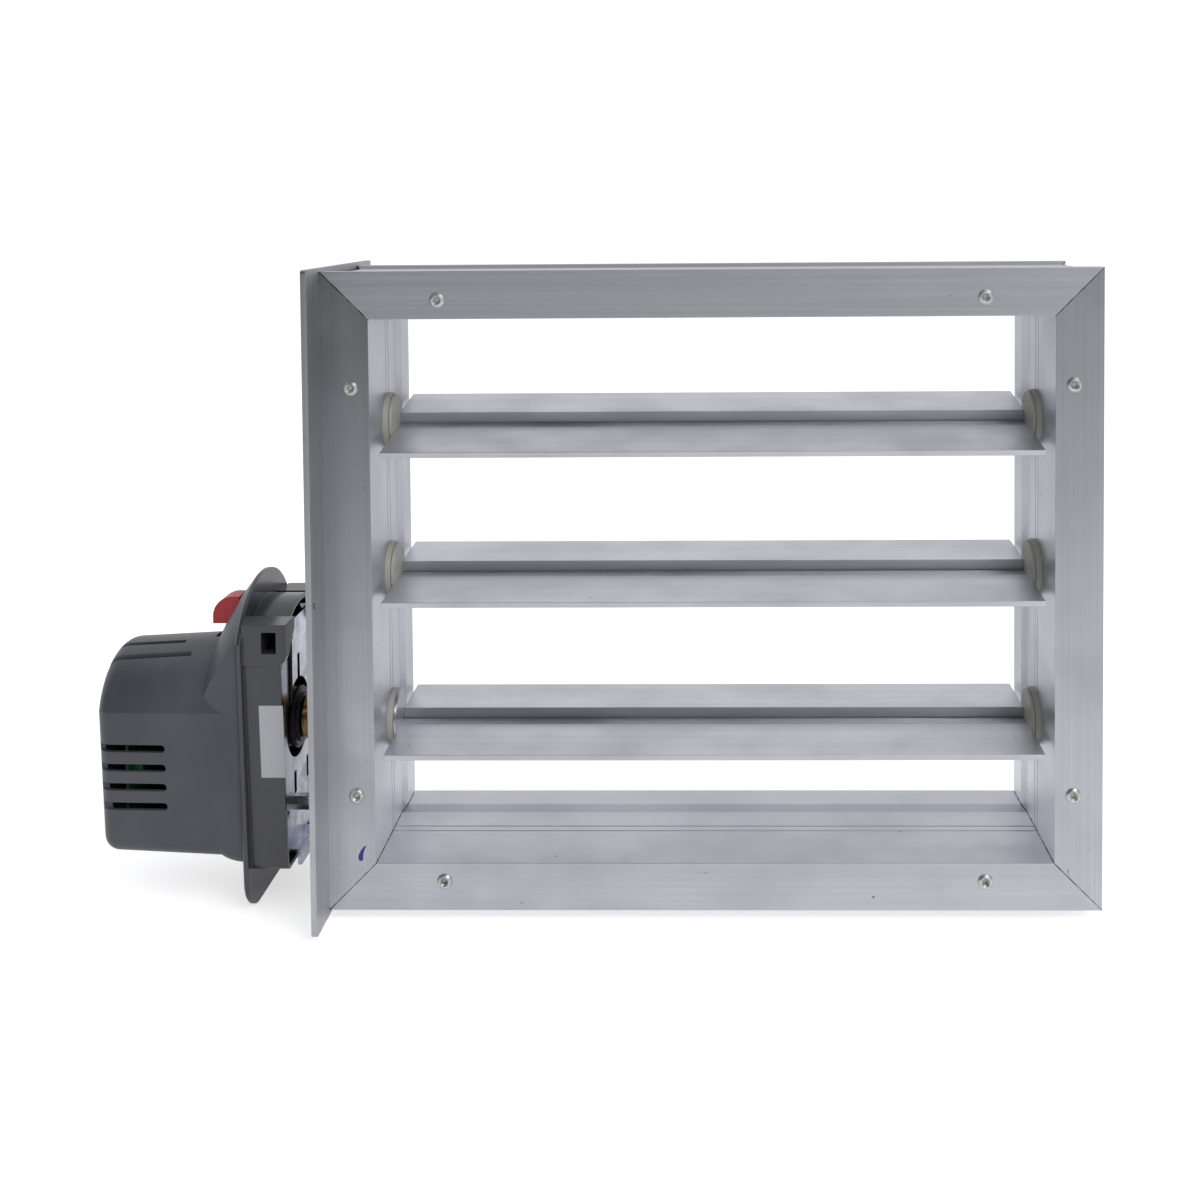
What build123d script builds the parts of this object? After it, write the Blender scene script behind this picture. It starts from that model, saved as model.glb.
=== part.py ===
from build123d import *
import math
import os

# Volume control damper: a mitred aluminium frame, three parallel blades joined by a tie bar
# that runs hidden inside the left jamb, and an electric actuator on the bottom spindle.
# Millimetres, +Z up. X runs across the duct, Y along the air flow (front face at -Y) and the
# actuator stands off the -X side. All the places below are measured from the frame's centre;
# write_part() moves them so that the origin lies at the middle of the base of the whole part.

# ---- Frame ----
frame_width = 413.0
frame_height = 343.0
frame_depth = 90.0
face_width = 25.4            # the picture-frame face seen from the front
rear_step = 2.3              # the rear of each member stands this much further into the airway
step_start, step_end = 65.0, 71.0
wall = 1.8
lip_depth, lip_recess = 8.0, 2.0
score_depths = (40.0, 46.0)  # drilling guide lines, measured from the front face
score_width, score_cut = 1.2, 0.5
mitre_gap = 0.25             # half the gap left at the inner corner of each mitre
half_w, half_h, half_d = frame_width / 2, frame_height / 2, frame_depth / 2
member = face_width + rear_step

# ---- Corner keys and rivets ----
key_inset, key_width, key_leg, key_thick = 2.4, 20.4, 80.0, 3.0
rivet_along, rivet_across = 62.0, 15.5
rivet_r, rivet_head_r, rivet_head_h = 2.0, 4.15, 1.7
rivet_hole_r = 2.05
rivet_bulb_r, rivet_bulb_h = 3.0, 1.6
mandrel_r, mandrel_recess_r, mandrel_depth = 1.3, 2.3, 1.2
sunk_head_r, sunk_head_h = 3.4, 1.3

# ---- Side plate ----
plate_thick = 3.0
plate_overhang = 25.0        # past the front face and past the rear face
plate_above, plate_below = 2.0, 2.7
plate_hole_r = 3.25
plate_hole_edge = 6.0        # centre of each edge hole from the plate's edge
plate_outer = -half_w - plate_thick
screw_r, screw_head_r, screw_head_h = 2.1, 4.0, 2.2
screw_rows, screw_column = (-140.0, 10.0, 140.0), 37.5
plate_screw_long = 10.0

# ---- Blades ----
blade_pitch = 84.2
middle_axis_z = 2.0
blade_axes = tuple(middle_axis_z + blade_pitch * (1 - i) for i in range(3))
blade_set = (9.4, 4.1, 1.5)  # how far each front edge hangs below level, top to bottom
blade_half = 176.2
chord_half = 45.5
leaf_thick, bead_thick, bead_width = 1.5, 2.9, 2.5
rear_top, front_top = 1.4, -3.8
riser_at, riser_lean = 7.9, 0.7
land_front, land_drop = -2.3, 0.4
groove_width, groove_cut = 1.6, 1.0
spine_bottom, spine_wall = -11.5, 1.5
window_half_depth, window_ends = 34.0, (-124.0, 126.0)

# ---- Pivots and bearings ----
pivot_r = 5.0
boss_r, boss_thick = 14.5, 1.7
tongue_front, tongue_back, tongue_long = -8.0, 12.0, 40.0
bearing_flange_r, bearing_flange = 15.5, 3.0
bearing_snout_r, bearing_snout = 8.0, 6.0
run_gap = 0.05               # radial clearance of every turning fit
pivot_tail = 9.0
opening_half = half_w - face_width

# ---- Cranks and tie bar ----
crank_r = 28.0
crank_angle = 42.5           # above level, towards the rear, with the blades as drawn
crank_in, crank_thick = -189.0, 4.0
crank_hub_r, crank_eye_r = 9.0, 6.0
pin_r, pin_head_r, pin_head = 3.0, 5.0, 1.5
link_gap, bar_thick, bar_half = 0.3, 3.0, 6.0
loose_gap = 0.3              # at the two pivots where the linkage is left open

# ---- Actuator ----
drive_z = blade_axes[2]
case_x, flange_x, flange_thick = -232.0, -252.0, 3.0
housing_x = flange_x - flange_thick
end_x = -335.0
flange_shape = dict(half=46.5, low_half=38.0, top=1.5, low=-178.0, dome_r=52.0, corner_r=18.0)
case_shape = dict(half=42.0, low_half=34.0, top=-13.0, low=-156.0, dome_r=46.5, corner_r=5.0)
body_shape = dict(half=42.0, low_half=35.0, top=-34.0, low=-150.0, dome_r=43.5, corner_r=10.0)
end_shape = dict(half=38.0, low_half=33.0, top=-38.0, low=-147.0, dome_r=39.5, corner_r=10.0)
case_wall, body_wall = 2.5, 2.5
latch_x, latch_y, latch_z = (-252.0, -228.5), (26.0, 43.5), (-39.5, -17.5)
latch_window_x, latch_window_z = (-241.5, -233.6), (-33.0, -21.5)
latch_round = 5.0
end_round = 9.0
hood_sections = (            # the shoulder between the flange and the body, from the flange outwards
    (-255.0, dict(half=45.0, low_half=36.5, top=0.0, low=-153.0, dome_r=50.5, corner_r=11.0)),
    (-268.0, dict(half=41.8, low_half=35.0, top=-19.0, low=-150.5, dome_r=46.5, corner_r=10.5)),
    (-276.5, dict(half=37.0, low_half=32.0, top=-37.0, low=-144.0, dome_r=41.0, corner_r=9.0)),
)
vent_pitch, vent_height, vent_top_z, vent_start, vent_count = 10.9, 4.2, -86.5, -296.5, 4
top_slots = ((-8.0, -295.0), (-19.0, -288.0))
top_slot_width, slot_depth = 3.2, 6.0
base_plate_x, base_plate_z = (-236.5, -235.0), (-151.0, -25.0)
plate_play, plate_hub_hole_r = 0.4, 22.0
plate_slots = (              # middle in (Y, Z) and height
    (2.4, -55.5, 17.5), (-27.5, -72.0, 17.5), (27.5, -72.0, 17.5),
    (-7.2, -117.0, 12.5), (17.0, -117.0, 12.5),
)
plate_slot_wide = 4.6
tab_x, tab_y, tab_low, tab_thick = (-236.5, -229.0), (-21.0, 11.0), -159.5, 1.5
case_screw_places = ((-33.5, -43.0), (33.5, -43.0), (-25.0, -128.5), (25.0, -128.5))
housing_screw_places = ((-34.5, -60.0), (34.5, -60.0), (-27.8, -141.0), (27.8, -141.0))
small_head_r, small_head_h, small_screw_long = 2.8, 1.8, 10.0
case_screw_r, post_r = 1.5, 3.6
hub_r, hub_groove_r, hub_barrel_r = 17.0, 13.5, 10.0
hub_ribs = ((-247.0, -243.0), (-241.5, -238.0), (-236.0, -232.5))
hub_end = -231.0
wire_r, wire_loop_r, wire_foot_half, wire_foot_z = 0.75, 14.6, 1.8, (-34.0, -28.0)
wire_joggle_z = (-67.4, -72.8)   # where the wire steps from the base plate's face to the groove
wire_turns = 75.0            # degrees of the hub's near side that the wire wraps
stud_reach, stud_flat, stud_thread_r = 49.0, 8.0, 2.5    # the anti-rotation stud, below the spindle
bush_r, bush_seat_r, bush_end = 12.0, 7.5, -230.5
spindle_end = -281.5

# ---- Gear train: module, teeth, and the places of the shafts ----
coarse, fine = 1.5, 1.0
output_teeth, idler_small, idler_large, motor_teeth = 30, 10, 40, 10
idler_z = drive_z - coarse * (output_teeth + idler_small) / 2
motor_reach = fine * (idler_large + motor_teeth) / 2
motor_y = motor_reach * math.sin(math.radians(45))
motor_z = idler_z - motor_reach * math.cos(math.radians(45))
coarse_x, fine_x = (-258.0, -265.0), (-271.0, -276.0)
gear_plate_x = (-278.0, -279.5)
arbor_r, motor_r, motor_long, motor_shaft_r = 2.5, 12.0, 32.0, 1.5
board_x, board_y, board_z = (-322.0, -323.6), (-25.0, 25.0), (-134.0, -64.0)
board_posts = ((-20.0, -70.0), (20.0, -70.0), (-20.0, -128.0), (20.0, -128.0))

# ---- Release lever ----
lever_x, lever_ring_r, lever_arm_half = (-269.5, -267.0), 9.0, 3.5
lever_ring_gap = 0.3
grip_x, grip_z, grip_half, grip_wall = (-280.0, -265.0), (-27.0, -12.0), 7.0, 2.2
lever_slot_x, lever_slot_y = (-280.0, -265.5), (-4.0, 17.0)
lever_notch_x, lever_notch_y = (-281.0, -262.5), (-8.5, 26.0)
grip_round = 11.0
shield_r, shield_thick, shield_x = 42.7, 1.2, (-277.0, -266.0)
shield_angles = (-22.0, 26.0)   # from the arm, positive towards the rear

origin = ((end_x + half_w) / 2, 0.0, flange_shape["low"])


def write_part(name, *shapes):
    solid = shapes[0] if len(shapes) == 1 else Compound(children=list(shapes))
    export_step(Pos(*[-v for v in origin]) * solid, f"parts/{name}.step")


def outline(points):
    return make_face(Polyline(*points, close=True))


def slab(shape, x_from, x_to):
    """Extrude a drawing made in (Y, Z) from one X to another."""
    low, high = min(x_from, x_to), max(x_from, x_to)
    return extrude(Plane.YZ.offset(low) * shape, high - low)


def disc(radius, x_from, x_to, y=0.0, z=0.0):
    return slab(Pos(y, z) * Circle(radius), x_from, x_to)


def block(x, y, z):
    """A box given by its two limits along each axis."""
    size = [b - a for a, b in (x, y, z)]
    middle = [(a + b) / 2 for a, b in (x, y, z)]
    return Pos(*middle) * Box(*size)


# ---- Frame members ----
def member_section():
    """Hollow extrusion, drawn with its outer face at z = 0 and the airway below it."""
    inner, rear = -face_width, -member
    skin = outline([
        (-half_d, 0), (-half_d + lip_depth, 0), (-half_d + lip_depth + lip_recess, -lip_recess),
        (half_d - lip_depth - lip_recess, -lip_recess), (half_d - lip_depth, 0), (half_d, 0),
        (half_d, rear), (step_end - half_d, rear), (step_start - half_d, inner), (-half_d, inner),
    ])
    hollow = offset(skin, -wall, kind=Kind.INTERSECTION)
    section = skin - hollow
    for depth in score_depths:
        y = depth - half_d
        section -= outline([(y - score_width / 2, inner - 0.1), (y + score_width / 2, inner - 0.1),
                            (y, inner + score_cut)])
    return section


def mitred_member(length):
    bar = extrude(Plane.YZ.offset(-length / 2) * member_section(), length)
    inner_half = length / 2 - member - mitre_gap
    keep = outline([(-length / 2, 0), (length / 2, 0), (inner_half, -member), (-inner_half, -member)])
    return bar & extrude(Plane.XZ * keep, frame_depth, both=True)


def rivet_places():
    """(x, z) of the eight rivets of one face, two at each corner."""
    for sx in (-1, 1):
        for sz in (-1, 1):
            yield sx * (half_w - rivet_along), sz * (half_h - rivet_across)
            yield sx * (half_w - rivet_across), sz * (half_h - rivet_along)


def across_faces(radius, x, z):
    return Pos(x, 0, z) * Rot(90, 0, 0) * Cylinder(radius, frame_depth + 2)


def drill_for_rivets(shape):
    box = shape.bounding_box()
    for x, z in rivet_places():
        if box.min.X < x < box.max.X and box.min.Z < z < box.max.Z:
            shape -= across_faces(rivet_hole_r, x, z)
    return shape


def countersink(shape):
    box = shape.bounding_box()
    for x, z in rivet_places():
        if box.min.X < x < box.max.X and box.min.Z < z < box.max.Z:
            shape -= Pos(x, half_d, z) * Rot(90, 0, 0) * sunk_cone()
    return shape


def sunk_cone():
    return Pos(0, 0, sunk_head_h / 2) * Cone(sunk_head_r, rivet_r, sunk_head_h)


def frame_members():
    across, upright = mitred_member(frame_width), mitred_member(frame_height)
    members = {
        "header": Pos(0, 0, half_h) * across,
        "sill": Pos(0, 0, -half_h) * Rot(0, 180, 0) * across,
        "left_jamb": Pos(-half_w, 0, 0) * Rot(0, -90, 0) * upright,
        "right_jamb": Pos(half_w, 0, 0) * Rot(0, 90, 0) * upright,
    }
    for side, name in ((-1, "left_jamb"), (1, "right_jamb")):
        for z in blade_axes:
            members[name] -= disc(bearing_snout_r, side * (opening_half - 4), side * (opening_half + 8), 0, z)
    members["left_jamb"] -= block((-half_w, -half_w + lip_recess + wall + 2),
                                  (-window_half_depth, window_half_depth), window_ends)
    for y, z in plate_screw_places():
        members["left_jamb"] -= disc(screw_r, -half_w - 1, -half_w + 4, y, z)
    for name, shape in members.items():
        write_part(name, countersink(drill_for_rivets(shape)))


def corner_key(sx, sz, y_from, y_to):
    x0, z0 = sx * (half_w - key_inset), sz * (half_h - key_inset)
    shape = outline([
        (x0, z0), (x0 - sx * key_leg, z0), (x0 - sx * key_leg, z0 - sz * key_width),
        (x0 - sx * key_width, z0 - sz * key_width), (x0 - sx * key_width, z0 - sz * key_leg),
        (x0, z0 - sz * key_leg),
    ])
    plate = Pos(0, y_to, 0) * extrude(Plane.XZ * shape, y_to - y_from)
    return plate


def corner_keys():
    front, rear = -half_d + wall, half_d - wall
    for sx, side in ((-1, "left"), (1, "right")):
        for sz, height in ((1, "top"), (-1, "bottom")):
            for place, y in (("front", front), ("rear", rear - key_thick)):
                key = corner_key(sx, sz, y, y + key_thick)
                write_part(f"{place}_key_{height}_{side}", drill_for_rivets(key))


def dome_rivet():
    """Blind rivet along +Z, head below z = 0."""
    grip = wall + key_thick
    profile = Polyline((mandrel_recess_r, -rivet_head_h), (rivet_head_r * 0.75, -rivet_head_h * 0.9),
                       (rivet_head_r * 0.92, -rivet_head_h * 0.5), (rivet_head_r, 0), (rivet_r, 0),
                       (rivet_r, grip), (rivet_bulb_r, grip + 0.3), (rivet_bulb_r, grip + rivet_bulb_h),
                       (0, grip + rivet_bulb_h), (0, mandrel_depth), (mandrel_r, mandrel_depth),
                       (mandrel_r, -rivet_head_h * 0.35), close=True)
    return revolve(Plane.XZ * make_face(profile), Axis.Z)


def sunk_rivet():
    grip = wall + key_thick
    profile = Polyline((0, 0), (sunk_head_r, 0), (rivet_r, sunk_head_h), (rivet_r, grip),
                       (rivet_bulb_r, grip + 0.3), (rivet_bulb_r, grip + rivet_bulb_h),
                       (0, grip + rivet_bulb_h), close=True)
    return revolve(Plane.XZ * make_face(profile), Axis.Z)


def rivets():
    front = [Pos(x, -half_d, z) * Rot(-90, 0, 0) * dome_rivet() for x, z in rivet_places()]
    rear = [Pos(x, half_d, z) * Rot(90, 0, 0) * sunk_rivet() for x, z in rivet_places()]
    write_part("front_rivets", *front)
    write_part("rear_rivets", *rear)


# ---- Side plate ----
def stud_place():
    return 0.0, drive_z - stud_reach


def plate_screw_places():
    for y in (-screw_column, screw_column):
        for z in screw_rows:
            yield y, z


def screw(x, y, z, long, towards, radius, head_r, head_h):
    """Pan-head screw along X whose head sits on the face at x and whose thread runs towards +-X."""
    profile = Polyline((0, -head_h), (head_r * 0.6, -head_h), (head_r, -head_h * 0.4), (head_r, 0),
                       (radius, 0), (radius, long - 1.5), (0, long), close=True)
    turned = revolve(Plane.XZ * make_face(profile), Axis.Z)
    turned -= block((-3, 3), (-0.4, 0.4), (-head_h - 1, -head_h + 0.8))
    return Pos(x, y, z) * Rot(0, 90 * towards, 0) * turned


def side_plate():
    tall = frame_height + plate_above + plate_below
    plate = slab(Pos(0, (plate_above - plate_below) / 2)
                 * RectangleRounded(frame_depth + 2 * plate_overhang, tall, 2.0), plate_outer, -half_w)
    hole_y = half_d + plate_overhang - plate_hole_edge
    holes = [(bush_seat_r, 0, drive_z), (plate_hole_r, -hole_y, 0), (plate_hole_r, hole_y, 0)]
    holes += [(screw_r, y, z) for y, z in plate_screw_places()]
    holes.append((stud_thread_r, *stud_place()))
    for radius, y, z in holes:
        plate -= disc(radius, plate_outer - 1, -half_w + 1, y, z)
    write_part("side_plate", plate)
    write_part("side_plate_screws", *[
        screw(plate_outer, y, z, plate_screw_long, 1, screw_r, screw_head_r, screw_head_h)
        for y, z in plate_screw_places()])
    bush = disc(bush_r, bush_end, plate_outer, 0, drive_z)
    bush += disc(bush_seat_r, plate_outer, -half_w, 0, drive_z)
    bush = chamfer(bush.edges().filter_by(GeomType.CIRCLE).group_by(Axis.X)[0], 1.0)
    write_part("drive_bush", bush - disc(pivot_r + run_gap, bush_end - 1, -half_w + 1, 0, drive_z))


# ---- Blades ----
def blade_section():
    """Two leaves offset in height, joined by a riser and a hollow spine below the axis."""
    c, front_low = chord_half, front_top - leaf_thick
    rear_low = rear_top - leaf_thick
    land = front_top - land_drop
    skin = outline([
        (-c, front_top), (-c, front_top - bead_thick), (bead_width - c, front_top - bead_thick),
        (bead_width + 1.5 - c, front_low), (-16, front_low), (-9, spine_bottom), (13, spine_bottom),
        (20, rear_low), (c - bead_width - 1.5, rear_low), (c - bead_width, rear_top - bead_thick),
        (c, rear_top - bead_thick), (c, rear_top), (riser_at + riser_lean, rear_top),
        (riser_at, land - groove_cut), (riser_at - groove_width, land - groove_cut),
        (riser_at - groove_width, land), (land_front + groove_width, land),
        (land_front + groove_width, land - groove_cut), (land_front, land - groove_cut),
        (land_front, front_top),
    ])
    cell_low, cell_top = spine_bottom + spine_wall, land - groove_cut - spine_wall * 0.75
    cell = outline([
        (-8.4, cell_low), (12.1, cell_low), (17.2, rear_low - 1.4), (riser_at + 2.2, rear_low - 1.4),
        (riser_at + 2.2, cell_top), (-12.2, cell_top),
    ])
    return skin - cell, cell_low, cell_top


section_of_blade, cell_low, cell_top = blade_section()


def at_blade(i, shape, tilted=True):
    turn = Rot(blade_set[i], 0, 0) if tilted else Rot(0, 0, 0)
    return Pos(0, 0, blade_axes[i]) * turn * shape


def pivot(side, tail_end):
    """Boss plate on the blade's end, a tongue inside its spine and a pin out through the jamb."""
    face = side * blade_half
    boss = disc(boss_r, face, face + side * boss_thick)
    pin = disc(pivot_r, face, tail_end)
    tongue = block(sorted((face, face - side * tongue_long)), (tongue_front, tongue_back),
                   (cell_low + 0.05, cell_top - 0.05))
    return boss + pin + tongue


def blades():
    for i in range(3):
        write_part(f"blade_{i + 1}", at_blade(i, slab(section_of_blade, -blade_half, blade_half)))
        write_part(f"pivot_{i + 1}_right", at_blade(i, pivot(1, opening_half + pivot_tail)))
        for side, name in ((-1, "left"), (1, "right")):
            inner = side * (opening_half - bearing_flange)
            outer = side * (opening_half + bearing_snout)
            bush = disc(bearing_flange_r, inner, side * opening_half)
            bush += disc(bearing_snout_r, inner, outer)
            bush -= disc(pivot_r + run_gap, inner - side, outer + side)
            write_part(f"bearing_{i + 1}_{name}", at_blade(i, bush, tilted=False))
        if i < 2:
            write_part(f"pivot_{i + 1}_left", at_blade(i, pivot(-1, crank_in - crank_thick - 1)))
    write_part("drive_spindle", at_blade(2, pivot(-1, spindle_end)))


# ---- Linkage ----
def crank_pin_place(i):
    angle = math.radians(crank_angle)
    return crank_r * math.cos(angle), blade_axes[i] + crank_r * math.sin(angle)


def linkage():
    crank_out = crank_in - crank_thick
    bar_in = crank_out - link_gap
    bar_out = bar_in - bar_thick
    head_in = bar_out - link_gap
    for i in range(3):
        y, z = crank_pin_place(i)
        hub, eye = Pos(0, blade_axes[i]) * Circle(crank_hub_r), Pos(y, z) * Circle(crank_eye_r)
        crank = slab(make_hull(hub.edges() + eye.edges()), crank_in, crank_out)
        crank -= disc(pivot_r, crank_in + 1, crank_out - 1, 0, blade_axes[i])
        crank -= disc(pin_r, crank_in + 1, crank_out - 1, y, z)
        write_part(f"crank_{i + 1}", crank)
        pin = disc(pin_r, crank_in, head_in, y, z) + disc(pin_head_r, head_in, head_in - pin_head, y, z)
        write_part(f"crank_pin_{i + 1}", pin)
    y, top = crank_pin_place(0)
    low = crank_pin_place(2)[1]
    bar = slab(Pos(y, (top + low) / 2) * Rot(0, 0, 90) * SlotCenterToCenter(top - low, 2 * bar_half),
               bar_in, bar_out)
    for i, gap in enumerate((loose_gap, loose_gap, run_gap)):
        bar -= disc(pin_r + gap, bar_in + 1, bar_out - 1, *crank_pin_place(i))
    write_part("tie_bar", bar)


# ---- Actuator casings ----
def domed(half, low_half, top, low, dome_r, corner_r, inset=0.0):
    """Outline in (Y, Z): round top, sides that draw in towards the bottom, rounded lower corners."""
    half, low_half, dome_r = half - inset, low_half - inset, dome_r - inset
    top, low, corner_r = top - inset, low + inset, max(corner_r - inset, 1.0)
    shoulder = top - dome_r + math.sqrt(dome_r ** 2 - half ** 2)
    sides = make_face([
        ThreePointArc((-half, shoulder), (0, top), (half, shoulder)),
        Line((half, shoulder), (low_half, low)), Line((low_half, low), (-low_half, low)),
        Line((-low_half, low), (-half, shoulder)),
    ])
    return fillet(sides.vertices().group_by(Axis.Y)[0], corner_r)


def screw_posts(places, x_from, x_to):
    return [disc(post_r, x_from, x_to, y, z) for y, z in places]


def rear_case():
    """Flange with a shroud behind it that stands round the spindle clamp, open to the side plate."""
    case = slab(domed(**flange_shape), housing_x, flange_x)
    case = chamfer(case.faces().sort_by(Axis.X)[0].edges(), 1.0)
    case += slab(domed(**case_shape), flange_x, case_x)
    for side in (-1, 1):
        ear = block(latch_x, sorted((side * latch_y[0], side * latch_y[1])), latch_z)
        case += fillet(ear.edges().filter_by(Axis.Y).sort_by(Axis.Z)[:2].sort_by(Axis.X)[-1], latch_round)
    case -= slab(domed(**case_shape, inset=case_wall), flange_x, latch_x[1] + 1)
    for side in (-1, 1):
        through = sorted((side * (latch_y[0] + 2), side * (latch_y[1] + 1)))
        case -= block(latch_window_x, through, latch_window_z)
    case -= disc(hub_r + 1, housing_x - 1, flange_x + 1, 0, drive_z)
    case -= disc(arbor_r, housing_x - 1, flange_x + 1, 0, idler_z)
    for post in screw_posts(case_screw_places, flange_x, base_plate_x[0]):
        case += post
    for y, z in case_screw_places:
        case -= disc(case_screw_r, flange_x + 3, base_plate_x[0] + 1, y, z)
    for y, z in housing_screw_places:
        case -= disc(case_screw_r, housing_x - 1, flange_x + 1, y, z)
    write_part("actuator_rear_case", case)


def body_loft(inset=0.0):
    """The body's tapering form with its end rounded, or the same drawn in by a wall."""
    near, far = domed(**body_shape, inset=inset), domed(**end_shape, inset=inset)
    form = loft([Plane.YZ.offset(housing_x) * near, Plane.YZ.offset(end_x + inset) * far])
    return fillet(form.faces().sort_by(Axis.X)[0].edges(), end_round - inset)


def hood():
    """Shoulder that swells from the body up to the flange, most of all over the top."""
    return loft([Plane.YZ.offset(x) * domed(**shape) for x, shape in hood_sections])


def vent(z):
    """One slot through the near side, open round the end corner and rounded where it stops."""
    y_from, y_to = -body_shape["half"] - 1, slot_depth - end_shape["half"]
    middle = vent_start - vent_height / 2
    straight = block((end_x - 1, middle), (y_from, y_to), (z - vent_height / 2, z + vent_height / 2))
    rounded = Pos(middle, (y_from + y_to) / 2, z) * Rot(90, 0, 0) * Cylinder(vent_height / 2, y_to - y_from)
    return straight + rounded


def actuator_housing():
    """Moulded body: domed tapering shell with a hood over the flange and slots for the air."""
    shell = body_loft() + hood()
    shell -= body_loft(body_wall)
    for i in range(vent_count):
        shell -= vent(vent_top_z - i * vent_pitch)
    for y, start in top_slots:
        shell -= block((end_x - 1, start), (y - top_slot_width / 2, y + top_slot_width / 2),
                       (end_shape["top"] - 2 * slot_depth, body_shape["top"] + 1))
    shell -= block(lever_slot_x, lever_slot_y, (body_shape["top"] - 12, flange_shape["top"]))
    shell -= block(lever_notch_x, lever_notch_y, (body_shape["top"] + 0.5, flange_shape["top"]))
    for post in screw_posts(housing_screw_places, housing_x, housing_x - 10):
        shell += post & body_loft(0.5)
    for post in screw_posts(board_posts, board_x[1], end_x + body_wall - 0.5):
        shell += post
    for y, z in housing_screw_places:
        shell -= disc(case_screw_r, housing_x + 1, housing_x - 8, y, z)
    write_part("actuator_housing", shell)


def through_plate(radius, y, z):
    return disc(radius, base_plate_x[0] - 1, base_plate_x[1] + 1, y, z)


def base_plate():
    """Zinc-plated plate set in the mouth of the shroud, with a tab bent out over its lower edge."""
    mouth = slab(domed(**case_shape, inset=case_wall + plate_play), *base_plate_x)
    plate = mouth & block(base_plate_x, (-body_shape["half"], body_shape["half"]), base_plate_z)
    low = base_plate_z[0]
    tab = block(tab_x, tab_y, (low, low + tab_thick))
    tab += block((tab_x[1] - tab_thick, tab_x[1]), tab_y, (tab_low, low + tab_thick))
    plate += fillet(tab.edges().filter_by(Axis.X).sort_by(Axis.Z)[:2], 4.0)
    plate -= through_plate(plate_hub_hole_r, 0, drive_z)
    for y, z, tall in plate_slots:
        hole = Pos(y, z) * RectangleRounded(plate_slot_wide, tall, 1.2)
        plate -= slab(hole, base_plate_x[0] - 1, base_plate_x[1] + 1)
    for y, z in case_screw_places:
        plate -= through_plate(case_screw_r, y, z)
    plate -= through_plate(stud_thread_r, *stud_place())
    write_part("base_plate", plate)
    for name, x, places in (("base_plate_screws", base_plate_x[1], case_screw_places),
                            ("housing_screws", flange_x, housing_screw_places)):
        write_part(name, *[screw(x, y, z, small_screw_long, -1, case_screw_r, small_head_r, small_head_h)
                           for y, z in places])


# ---- Fixings between the actuator and the side plate ----
def anti_rotation_stud():
    """Hexagon stud that ties the base plate to the side plate, with its nut."""
    y, z = stud_place()
    hexagon = Pos(y, z) * RegularPolygon(stud_flat / 2, 6, major_radius=False)
    stud = slab(hexagon, base_plate_x[1], plate_outer)
    stud += disc(stud_thread_r, base_plate_x[0] - 5, plate_outer + plate_thick, y, z)
    write_part("anti_rotation_stud", stud)
    nut = slab(hexagon, base_plate_x[0], base_plate_x[0] - 4) - disc(stud_thread_r, base_plate_x[0] + 1,
                                                                   base_plate_x[0] - 5, y, z)
    write_part("stud_nut", nut)


def retaining_clip():
    """Black spring wire: a flat foot on the base plate, a leg, and a loop round the clamp's groove."""
    leg_x, y = base_plate_x[1] + wire_r, -wire_loop_r
    groove_x = (hub_ribs[1][1] + hub_ribs[2][0]) / 2
    foot_low, foot_top = wire_foot_z
    turned = [math.radians(180 + wire_turns * k / 2) for k in range(3)]
    loop = [(groove_x, wire_loop_r * math.cos(a), drive_z + wire_loop_r * math.sin(a)) for a in turned]
    leg_end, groove_start = (leg_x, y, wire_joggle_z[0]), (groove_x, y, wire_joggle_z[1])
    path = Wire([
        Line((leg_x, y, foot_low), leg_end),
        Spline(leg_end, groove_start, tangents=[(0, 0, -1), (0, 0, -1)]),
        Line(groove_start, loop[0]), ThreePointArc(*loop),
    ])
    section = Plane((leg_x, y, foot_low), z_dir=(0, 0, -1)) * Circle(wire_r)
    foot = block((base_plate_x[1], leg_x + wire_r), (y - wire_foot_half, y + wire_foot_half),
                 (foot_low, foot_top))
    write_part("retaining_clip", foot + sweep(section, path=path))


# ---- Spindle clamp and gear train ----
def hub_clamp():
    """Ribbed black adapter that grips the spindle and carries it into the output gear."""
    outline_points = [(pivot_r, coarse_x[0]), (hub_barrel_r, coarse_x[0]), (hub_barrel_r, hub_ribs[0][0])]
    for rib_from, rib_to in hub_ribs:
        outline_points += [(hub_groove_r, rib_from), (hub_r - 1, rib_from), (hub_r, rib_from + 1),
                           (hub_r, rib_to - 1), (hub_r - 1, rib_to), (hub_groove_r, rib_to)]
    outline_points += [(hub_groove_r, hub_end), (pivot_r, hub_end)]
    turned = revolve(Plane.XZ * outline(outline_points), Axis.Z)
    write_part("hub_clamp", Pos(0, 0, drive_z) * Rot(0, 90, 0) * turned)


def gear(teeth, module, x_from, x_to, y, z, turn=0.0):
    """Spur gear with straight flanks, slim enough to run freely with its mate."""
    pitch_r = teeth * module / 2
    root_r, tip_r = pitch_r - 1.25 * module, pitch_r + 0.85 * module
    root_half, tip_half = 0.95 * module, 0.30 * module
    shape = Circle(root_r)
    foot = root_r - 0.3
    tooth = outline([(foot, -root_half), (tip_r, -tip_half), (tip_r, tip_half), (foot, root_half)])
    for k in range(teeth):
        shape += Rot(0, 0, turn + 360 * k / teeth) * tooth
    return slab(Pos(y, z) * shape, x_from, x_to)


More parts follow.
